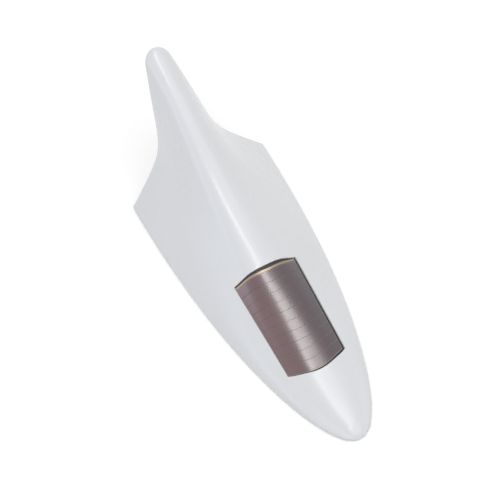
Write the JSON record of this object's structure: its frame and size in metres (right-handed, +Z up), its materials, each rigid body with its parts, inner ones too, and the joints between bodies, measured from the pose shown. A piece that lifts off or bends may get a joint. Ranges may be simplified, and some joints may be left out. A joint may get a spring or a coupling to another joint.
{
  "type": "stick-on solar shark fin aerial with rear warning lamp",
  "caption": "Car-roof shark fin with a swept hollow body, a curved solar panel set in its nose, a rear warning lamp and an adhesive base with an on-off slide switch.",
  "frame": {"origin": "on the roof plane under the middle of the base's length, on the plane of symmetry", "axes": "+Z up from the roof, -Y towards the nose, +Y towards the tail and the swept tip, X across"},
  "size_m": [0.066, 0.1769, 0.0778],
  "materials": {
    "shell_white": "semi-gloss white ABS moulding, slightly cool",
    "carrier_black": "matt dark ABS",
    "tape_black": "dull double-sided tape",
    "solar_film": "satin purple-brown solar film",
    "cell_strips": "satin purple-brown cell strips",
    "contact_silver": "pale silver-printed contact strip",
    "base_black": "matt black ABS",
    "foam_pad": "dull closed-cell foam with adhesive",
    "steel": "zinc-plated steel",
    "lens_red": "clear red plastic",
    "board_green": "circuit board with green mask",
    "led_epoxy": "clear red epoxy",
    "part_black": "moulded black epoxy",
    "brass": "plain brass can",
    "capacitor_sleeve": "dark shrink sleeve",
    "sleeve_blue": "glossy shrink sleeve",
    "wire_red": "soft red insulation",
    "wire_black": "soft black insulation"
  },
  "bodies": {
    "housing": {"fin_shell": "shell_white", "panel_carrier": "carrier_black", "panel_tape": "tape_black", "solar_film": "solar_film", "cell_strips": "cell_strips", "contact_strip": "contact_silver", "base_plate": "base_black", "foam_pad": "foam_pad", "plate_screws": "steel", "rear_lens": "lens_red", "lamp_board": "board_green", "led_1": "led_epoxy", "led_2": "led_epoxy", "led_3": "led_epoxy", "led_4": "led_epoxy", "led_5": "led_epoxy", "led_6": "led_epoxy", "led_7": "led_epoxy", "led_8": "led_epoxy", "main_board": "board_green", "board_screws": "steel", "control_chip": "part_black", "vibration_switch": "brass", "capacitor": "capacitor_sleeve", "drive_transistor": "part_black", "charge_diode": "part_black", "battery_cell_1": "steel", "battery_cell_2": "steel", "battery_cell_3": "steel", "battery_sleeve": "sleeve_blue", "switch_case": "steel", "switch_contacts": "brass", "panel_wire_plus": "wire_red", "panel_wire_minus": "wire_black", "battery_wire_plus": "wire_red", "battery_wire_minus": "wire_black", "lamp_wire_plus": "wire_red", "lamp_wire_minus": "wire_black", "switch_wire_1": "wire_black", "switch_wire_2": "wire_black"},
    "slider": {"switch_slider": "part_black"}
  },
  "joints": [
    {"name": "power_switch", "type": "slide", "parent": "housing", "child": "slider", "axis": [1, 0, 0], "range_m": [0, 0.002]}
  ]
}
